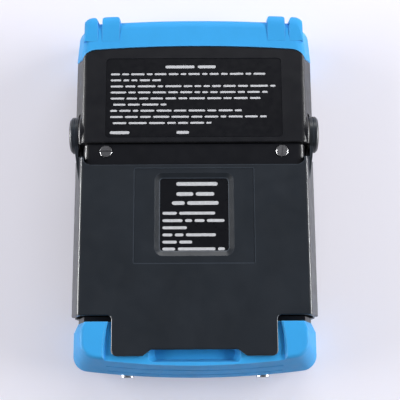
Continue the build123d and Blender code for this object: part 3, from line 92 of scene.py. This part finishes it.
class Shader:
    """Node tree of one material, with the few steps that every finish here is made of."""

    def __init__(self, name):
        self.material = bpy.data.materials.new(name)
        self.material.use_nodes = True
        self.tree = self.material.node_tree
        self.surface = self.tree.nodes["Principled BSDF"]
        self.place = self.tree.nodes.new("ShaderNodeTexCoord").outputs["Object"]
        self.bump = None

    def node(self, kind, **values):
        made = self.tree.nodes.new(kind)
        for key, value in values.items():
            setattr(made, key, value)
        return made

    def link(self, source, target):
        self.tree.links.new(source, target)

    def stretched(self, factors):
        """Coordinates scaled by a factor along each axis."""
        mapping = self.node("ShaderNodeMapping")
        mapping.inputs["Scale"].default_value = factors
        self.link(self.place, mapping.inputs["Vector"])
        return mapping.outputs["Vector"]

    def noise(self, scale, detail=3.0, roughness=0.55, coordinates=None):
        texture = self.node("ShaderNodeTexNoise")
        texture.inputs["Scale"].default_value = scale
        texture.inputs["Detail"].default_value = detail
        texture.inputs["Roughness"].default_value = roughness
        self.link(coordinates or self.place, texture.inputs["Vector"])
        return texture.outputs["Fac"]

    def spread(self, value, low=0.0, high=1.0, from_low=0.3, from_high=0.7):
        """Value mapped from its usual range, which for noise is 0.3 to 0.7, to another one."""
        mapped = self.node("ShaderNodeMapRange")
        mapped.inputs["From Min"].default_value = from_low
        mapped.inputs["From Max"].default_value = from_high
        mapped.inputs["To Min"].default_value = low
        mapped.inputs["To Max"].default_value = high
        self.link(value, mapped.inputs["Value"])
        return mapped.outputs["Result"]

    def blend(self, factor, first, second):
        """Colour between two colours, either of which may be an output."""
        mix = self.node("ShaderNodeMix", data_type="RGBA")
        self.link(factor, mix.inputs["Factor"])
        for socket, colour in ((mix.inputs["A"], first), (mix.inputs["B"], second)):
            if isinstance(colour, tuple):
                socket.default_value = (*colour, 1.0)
            else:
                self.link(colour, socket)
        return mix.outputs["Result"]

    def mottled(self, pattern, colour, dark, light=1.0):
        """Colour that drifts between two tints of itself."""
        return self.blend(self.spread(pattern), tinted(colour, dark), tinted(colour, light))

    def edges(self, radius=0.8 * mm, agreement_at_edge=0.90, agreement_on_flat=0.995):
        """1 along edges, 0 elsewhere: where a rounded normal leaves the real one."""
        rounded = self.node("ShaderNodeBevel", samples=6)
        rounded.inputs["Radius"].default_value = radius
        agreement = self.node("ShaderNodeVectorMath", operation="DOT_PRODUCT")
        self.link(rounded.outputs["Normal"], agreement.inputs[0])
        self.link(self.node("ShaderNodeNewGeometry").outputs["Normal"], agreement.inputs[1])
        return self.spread(agreement.outputs["Value"], 1.0, 0.0, agreement_at_edge, agreement_on_flat)

    def relief(self, height, strength, depth):
        """Adds a layer of bump."""
        layer = self.node("ShaderNodeBump")
        layer.inputs["Strength"].default_value = strength
        layer.inputs["Distance"].default_value = depth
        self.link(height, layer.inputs["Height"])
        if self.bump:
            self.link(self.bump, layer.inputs["Normal"])
        self.bump = layer.outputs["Normal"]
        self.link(self.bump, self.surface.inputs["Normal"])

    def colour(self, value):
        if isinstance(value, tuple):
            self.surface.inputs["Base Color"].default_value = (*value, 1.0)
        else:
            self.link(value, self.surface.inputs["Base Color"])

    def rough(self, pattern, low, high):
        self.link(self.spread(pattern, low, high), self.surface.inputs["Roughness"])

    def set(self, **values):
        for key, value in values.items():
            self.surface.inputs[key.replace("_", " ")].default_value = value


def moulded_plastic(name, colour, rough_low, rough_high, grain_strength=0.12, wear_and_highlight=1.6):
    """Fine-grained moulding with faint flow marks, and edges painted paler: partly wear, partly a painted
    highlight.
    """
    s = Shader(name)
    flow = s.noise(scale=38.0, detail=4.0)
    body = s.mottled(flow, colour, dark=0.88, light=1.12)
    # Edges painted paler along the bevel mask: partly wear, partly a painted highlight on the rounded
    # edges
    s.colour(s.blend(s.edges(), body, tinted(colour, wear_and_highlight)))
    s.rough(s.noise(scale=120.0, detail=5.0), rough_low, rough_high)
    s.relief(s.noise(scale=2600.0, detail=2.0), grain_strength, depth=0.05 * mm)
    s.relief(flow, strength=0.05, depth=0.4 * mm)
    s.set(Specular_IOR_Level=0.45)
    return s.material


def moulded_rubber(name, colour, sheen=0.02, highlight_fade=0.95, highlight_lift=0.04):
    """Matte rubber with a fine spark-eroded texture, handling marks, and edges painted paler as a painted
    highlight.
    """
    s = Shader(name)
    clouds = s.noise(scale=22.0, detail=5.0, roughness=0.6)
    body = s.mottled(clouds, colour, dark=0.93, light=1.05)
    # Paler edges: a painted highlight, the rounded rims painted as if catching the key light
    painted_edge_highlight = tuple(min(1.0, channel * highlight_fade + highlight_lift) for channel in colour)
    s.colour(s.blend(s.edges(radius=1.2 * mm), body, painted_edge_highlight))
    s.rough(s.noise(scale=160.0, detail=4.0), low=0.42, high=0.56)
    s.relief(s.noise(scale=1900.0, detail=2.0), strength=0.16, depth=0.06 * mm)
    s.relief(clouds, strength=0.04, depth=0.5 * mm)
    s.set(Sheen_Weight=sheen, Sheen_Roughness=0.5, Specular_IOR_Level=0.12)
    return s.material


def turned_metal(name, colour, rough_low=0.22, rough_high=0.42, brushing=(1.0, 18.0, 1.0)):
    """Machined metal with fine tool marks."""
    s = Shader(name)
    marks = s.noise(scale=900.0, detail=4.0, coordinates=s.stretched(brushing))
    s.colour(s.mottled(s.noise(scale=60.0), colour, dark=0.85, light=1.08))
    s.rough(marks, rough_low, rough_high)
    s.relief(marks, strength=0.18, depth=0.03 * mm)
    s.set(Metallic=1.0)
    return s.material


def printed_film(name, colour):
    """Satin self-adhesive film."""
    s = Shader(name)
    s.colour(s.mottled(s.noise(scale=30.0), colour, dark=0.9, light=1.1))
    s.rough(s.noise(scale=240.0, detail=5.0), low=0.26, high=0.36)
    s.relief(s.noise(scale=3400.0, detail=2.0), strength=0.10, depth=0.02 * mm)
    s.set(Specular_IOR_Level=0.45)
    return s.material


def printed_ink(name, colour):
    """Screen print, a little uneven in strength."""
    s = Shader(name)
    s.colour(s.mottled(s.noise(scale=700.0, detail=3.0), colour, dark=0.82))
    s.rough(s.noise(scale=500.0), low=0.45, high=0.6)
    return s.material


def circuit_board(name, colour, track_lift=1.7):
    """Solder-masked laminate with a faint pattern of tracks."""
    s = Shader(name)
    tracks = s.node("ShaderNodeTexBrick")
    tracks.inputs["Scale"].default_value = 180.0
    tracks.inputs["Mortar Size"].default_value = 0.03
    s.link(s.place, tracks.inputs["Vector"])
    pattern = tracks.outputs["Fac"]
    s.colour(s.blend(s.spread(pattern, from_low=0.0, from_high=1.0), colour, tinted(colour, track_lift)))
    s.rough(s.noise(scale=300.0), low=0.28, high=0.42)
    s.relief(pattern, strength=0.25, depth=0.05 * mm)
    return s.material


def clear_window(name, colour):
    """Dark glossy pane with faint waviness."""
    s = Shader(name)
    s.colour(s.mottled(s.noise(scale=9.0), colour, dark=0.9, light=1.1))
    s.rough(s.noise(scale=80.0), low=0.05, high=0.10)
    s.relief(s.noise(scale=14.0, detail=2.0), strength=0.02, depth=0.3 * mm)
    s.set(Coat_Weight=0.6, Coat_Roughness=0.04)
    return s.material


def light_guide(name, colour):
    """Frosted plastic rod."""
    s = Shader(name)
    s.colour(s.mottled(s.noise(scale=90.0), colour, dark=0.9))
    s.rough(s.noise(scale=600.0), low=0.35, high=0.5)
    s.set(Subsurface_Weight=0.3, Subsurface_Scale=1.5 * mm)
    return s.material


# Each material slot: how it is made, its colour and what else sets it apart
finish_table = {
    "boot_rubber": (moulded_rubber, boot_blue, {}),
    "cover_plastic": (moulded_plastic, cover_black, dict(rough_low=0.38, rough_high=0.48)),
    "pack_plastic": (moulded_plastic, pack_black, dict(rough_low=0.28, rough_high=0.38)),
    # The stand's edges are painted much paler than the others: a little wear, mostly a painted highlight
    "stand_plastic": (moulded_plastic, stand_slate,
                      dict(rough_low=0.28, rough_high=0.38, grain_strength=0.16, wear_and_highlight=3.0)),
    "label_film": (printed_film, label_black, {}),
    "screw_steel": (turned_metal, screw_grey, dict(rough_low=0.30, rough_high=0.50)),
    "washer_steel": (turned_metal, spring_grey, {}),
    "washer_plastic": (moulded_plastic, nylon_ivory, dict(rough_low=0.40, rough_high=0.55)),
    "gasket_rubber": (moulded_rubber, gasket_black, dict(sheen=0.05)),
    "window_clear": (clear_window, window_black, {}),
    "display_metal": (turned_metal, pressed_grey, {}),
    "board_green": (circuit_board, mask_green, {}),
    "key_rubber": (moulded_rubber, key_black, dict(sheen=0.1)),
    "soft_key_rubber": (moulded_rubber, soft_key_grey, dict(sheen=0.1)),
    "knob_plastic": (moulded_plastic, knob_black, dict(rough_low=0.42, rough_high=0.55)),
    "bright_steel": (turned_metal, plated_grey, dict(rough_low=0.12, rough_high=0.28)),
    "spacer_brass": (turned_metal, brass_yellow, {}),
    "housing_plastic": (moulded_plastic, housing_black, dict(rough_low=0.40, rough_high=0.55)),
    "light_clear": (light_guide, frosted_white, {}),
    "cell_wrap": (moulded_plastic, sleeve_blue, dict(rough_low=0.20, rough_high=0.30)),
}
finishes = {slot: make(slot, colour, **values) for slot, (make, colour, values) in finish_table.items()}
for entry in frame["record"]["subparts"]:
    mesh = nodes[entry["node"]].data
    mesh.materials.clear()
    mesh.materials.append(finishes[entry["material_slot"]])

ink = printed_ink("print_ink", ink_white)


# Print, in millimetres: solids so thin that they lie on the surface like ink

print_thickness = 0.03


def rounded_bar(x, y, length, height, steps=4):
    """Outline of a bar with round ends, from its left end at x, centred on y."""
    radius = height / 2
    outline = []
    for centre_x, start in ((x + length - radius, -90), (x + radius, 90)):
        for step in range(steps + 1):
            angle = math.radians(start + 180 * step / steps)
            outline.append((centre_x + radius * math.cos(angle), y + radius * math.sin(angle)))
    return outline


def printed_piece(name, outlines, z, body):
    """Thin flat solids of the given outlines that ride on a body, with their lower face at z."""
    points = []
    faces = []
    for outline in outlines:
        first = len(points)
        count = len(outline)
        points += [(x * mm, y * mm, z * mm) for x, y in outline]
        points += [(x * mm, y * mm, (z + print_thickness) * mm) for x, y in outline]
        faces.append([first + i for i in reversed(range(count))])
        faces.append([first + count + i for i in range(count)])
        for i in range(count):
            j = (i + 1) % count
            faces.append([first + i, first + j, first + count + j, first + count + i])
    mesh = bpy.data.meshes.new(name)
    mesh.from_pydata(points, [], faces)
    mesh.materials.append(ink)
    piece = bpy.data.objects.new(name, mesh)
    bpy.context.scene.collection.objects.link(piece)
    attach(piece, body)


def bar_line(x, y, length, height, word_lengths, gap):
    """Bars of one line of print: words that repeat until the line is full."""
    bars = []
    end = x + length
    place = 0
    while x < end - 2 * height:
        word = min(word_lengths[place % len(word_lengths)], end - x)
        bars.append(rounded_bar(x, y, word, height))
        x += word + gap
        place += 1
    return bars


# Print on the two label places: plain bars where the words would be

random.seed(7)
film_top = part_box("notes_label")[1].z / mm
label_low, label_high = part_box("notes_label")
label_left = label_low.x / mm
label_top = label_high.y / mm
heading_height = 2.1
heading_inset = 42.0
heading_drop = 6.2
heading_length = 42.0
heading_words = (21, 13)
heading_gap = 2.2
notes_height = 1.4
notes_drop = 11.6
notes_pitch = 4.55
notes_gap = 1.5
notes_rows = ((3, 111), (3, 36), (3, 122), (3, 112), (3, 108), (5, 38), (3, 96), (3, 111), (5, 71))
shortest_word, longest_word = 3.5, 13.0
words_drawn = 9             # random lengths for each row
footer_drop = 55.0
footer_words = ((3, 14), (50, 9))

notes_bars = bar_line(label_left + heading_inset, label_top - heading_drop, heading_length,
                      heading_height, heading_words, heading_gap)
for row, (indent, length) in enumerate(notes_rows):
    y = label_top - notes_drop - row * notes_pitch
    words = [random.uniform(shortest_word, longest_word) for _ in range(words_drawn)]
    notes_bars += bar_line(label_left + indent, y, length, notes_height, words, notes_gap)
for indent, length in footer_words:
    notes_bars.append(rounded_bar(label_left + indent, label_top - footer_drop, length, heading_height))
printed_piece("notes_print", notes_bars, film_top, "case")

battery_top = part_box("battery_label")[1].z / mm
window_left = -22.0
title_height = 2.6
battery_height = 2.0
battery_gap = 1.6
# Left end, y, length, height and word lengths of each line
battery_lines = (
    (-12.5, 0.8, 29.0, title_height, (29,)),
    (-12.5, -6.4, 27.0, title_height, (12, 13)),
    (-15.5, -12.8, 33.0, title_height, (9, 22)),
    (window_left, -20.0, 37.0, battery_height, (10, 25)),
    (window_left, -25.2, 43.0, battery_height, (14, 5, 7, 13)),
    (window_left, -30.2, 17.0, battery_height, (17,)),
    (window_left, -35.2, 37.0, battery_height, (7, 6, 21)),
    (window_left, -40.2, 21.0, battery_height, (10, 9)),
    (window_left, -45.0, 43.0, battery_height, (9, 26, 6)),
)
battery_bars = []
for x, y, length, height, words in battery_lines:
    battery_bars += bar_line(x, y, length, height, words, battery_gap)
printed_piece("battery_print", battery_bars, battery_top, "case")


# Print on the keys: plain arrows, dots and bars

arrow_size = 2.4
arrow_base = 0.7            # how far the base lies from the middle, in sizes
long_bar = 6.0
short_bar = 4.0
bar_height = 1.2
bar_offset = 1.3
soft_key_bar = 8.0
soft_key_bar_height = 1.1
dot_size = 3.6


def arrow(x, y, quarter_turns):
    """Triangle that points along +Y before it is turned."""
    angle = math.radians(90 * quarter_turns)
    base = -arrow_base * arrow_size
    corners = ((0, arrow_size), (-arrow_size, base), (arrow_size, base))
    return [(x + a * math.cos(angle) - b * math.sin(angle), y + a * math.sin(angle) + b * math.cos(angle))
            for a, b in corners]


def two_bars(x, y):
    left = x - long_bar / 2
    return [rounded_bar(left, y + bar_offset, long_bar, bar_height),
            rounded_bar(left, y - bar_offset, short_bar, bar_height)]


def one_bar(x, y):
    return [rounded_bar(x - soft_key_bar / 2, y, soft_key_bar, soft_key_bar_height)]


def dot(x, y):
    return [rounded_bar(x - dot_size / 2, y, dot_size, dot_size)]


def key_mark(key, shape):
    """Print on the outer face of a key, made by a function of the face's centre."""
    low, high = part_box(key)
    outlines = shape((low.x + high.x) / 2 / mm, (low.y + high.y) / 2 / mm)
    printed_piece(key + "_print", outlines, low.z / mm - print_thickness, key)


for number, turns in ((2, 0), (4, 1), (8, 2), (6, 3)):
    key_mark(f"pad_key_{number}", lambda x, y: [arrow(x, y, turns)])
for number in (1, 3, 7, 9):
    key_mark(f"pad_key_{number}", two_bars)
for number in range(1, 6):
    key_mark(f"soft_key_{number}", one_bar)
key_mark("pad_key_5", dot)
key_mark("power_key", dot)


# Floor, light and camera

def plain_floor():
    """Pale table top, far larger than the view."""
    corners = [(x * floor_reach, y * floor_reach, 0) for x, y in ((-1, -1), (1, -1), (1, 1), (-1, 1))]
    mesh = bpy.data.meshes.new("floor")
    mesh.from_pydata(corners, [], [[0, 1, 2, 3]])
    floor = bpy.data.objects.new("floor", mesh)
    bpy.context.scene.collection.objects.link(floor)
    s = Shader("floor")
    s.colour(s.mottled(s.noise(scale=3.0), floor_pale, dark=0.985))
    s.set(Roughness=0.7, Specular_IOR_Level=0.2)
    glow = s.node("ShaderNodeEmission")
    glow.inputs["Color"].default_value = (*floor_pale, 1.0)
    rays = s.node("ShaderNodeLightPath")
    seen = rays.outputs["Is Camera Ray"]
    for kind in ("Is Glossy Ray", "Is Transmission Ray"):
        either = s.node("ShaderNodeMath", operation="MAXIMUM")
        s.link(seen, either.inputs[0])
        s.link(rays.outputs[kind], either.inputs[1])
        seen = either.outputs["Value"]
    share = s.node("ShaderNodeMath", operation="MULTIPLY")
    share.inputs[1].default_value = floor_glow
    s.link(seen, share.inputs[0])
    mix = s.node("ShaderNodeMixShader")
    s.link(share.outputs["Value"], mix.inputs["Fac"])
    s.link(s.surface.outputs["BSDF"], mix.inputs[1])
    s.link(glow.outputs["Emission"], mix.inputs[2])
    s.link(mix.outputs["Shader"], s.tree.nodes["Material Output"].inputs["Surface"])
    mesh.materials.append(s.material)


def soft_lamp(name, place, width, height, power, diffuse=True, glossy=True):
    """Rectangular lamp aimed at the object, which may be left out of diffuse light or reflections."""
    lamp = bpy.data.lights.new(name, "AREA")
    lamp.shape = "RECTANGLE"
    lamp.size = width
    lamp.size_y = height
    lamp.energy = power
    holder = bpy.data.objects.new(name, lamp)
    holder.location = place
    holder.rotation_euler = (-Vector(place)).to_track_quat("-Z", "Y").to_euler()
    holder.visible_diffuse = diffuse
    holder.visible_glossy = glossy
    bpy.context.scene.collection.objects.link(holder)


def studio():
    """Pale room, darker overhead and behind the camera, with a key lamp beyond the top end,
    soft boxes at the sides and low rim strips that only show in reflections."""
    world = bpy.data.worlds.new("studio")
    bpy.context.scene.world = world
    world.use_nodes = True
    tree = world.node_tree
    height = tree.nodes.new("ShaderNodeSeparateXYZ")
    tree.links.new(tree.nodes.new("ShaderNodeTexCoord").outputs["Generated"], height.inputs["Vector"])
    ramp = tree.nodes.new("ShaderNodeMapRange")
    tree.links.new(height.outputs["Z"], ramp.inputs["Value"])
    sky = tree.nodes.new("ShaderNodeMix")
    sky.data_type = "RGBA"
    sky.inputs["A"].default_value = (*sky_horizon, 1.0)
    sky.inputs["B"].default_value = (*sky_zenith, 1.0)
    tree.links.new(ramp.outputs["Result"], sky.inputs["Factor"])
    tree.links.new(sky.outputs["Result"], tree.nodes["Background"].inputs["Color"])
    depth = tree.nodes.new("ShaderNodeMapRange")
    depth.inputs["From Min"].default_value = -1.0
    depth.inputs["To Min"].default_value = sky_behind_camera
    depth.inputs["To Max"].default_value = sky_beyond
    tree.links.new(height.outputs["Y"], depth.inputs["Value"])
    tree.links.new(depth.outputs["Result"], tree.nodes["Background"].inputs["Strength"])
    soft_lamp("key_softbox", place=(0.45, 1.90, 1.40), width=1.6, height=0.9, power=18.5)
    soft_lamp("right_softbox", place=(1.30, 0.14, 0.92), width=1.2, height=0.35, power=20.0, glossy=False)
    soft_lamp("left_softbox", place=(-1.30, 0.12, 0.92), width=1.2, height=0.35, power=14.0, glossy=False)
    soft_lamp("right_rim", place=(1.40, -0.20, 0.17), width=1.4, height=0.14, power=46.0, diffuse=False)
    soft_lamp("left_rim", place=(-1.40, -0.20, 0.17), width=1.4, height=0.14, power=62.0, diffuse=False)


def photo_camera():
    """Camera with the place, aim and field of view fitted to the photograph."""
    lens = bpy.data.cameras.new("camera")
    lens.sensor_width = sensor_mm
    lens.lens = focal_pixels * sensor_mm / photo_size
    lens.clip_start = nearest_view
    lens.dof.use_dof = False
    camera = bpy.data.objects.new("camera", lens)
    turn = (camera_target - camera_place).to_track_quat("-Z", "Y").to_matrix().to_4x4()
    camera.matrix_world = Matrix.Translation(camera_place) @ turn @ Matrix.Rotation(camera_roll, 4, "Z")
    bpy.context.scene.collection.objects.link(camera)
    bpy.context.scene.camera = camera


plain_floor()
studio()
photo_camera()
bpy.context.scene.view_settings.view_transform = "Standard"
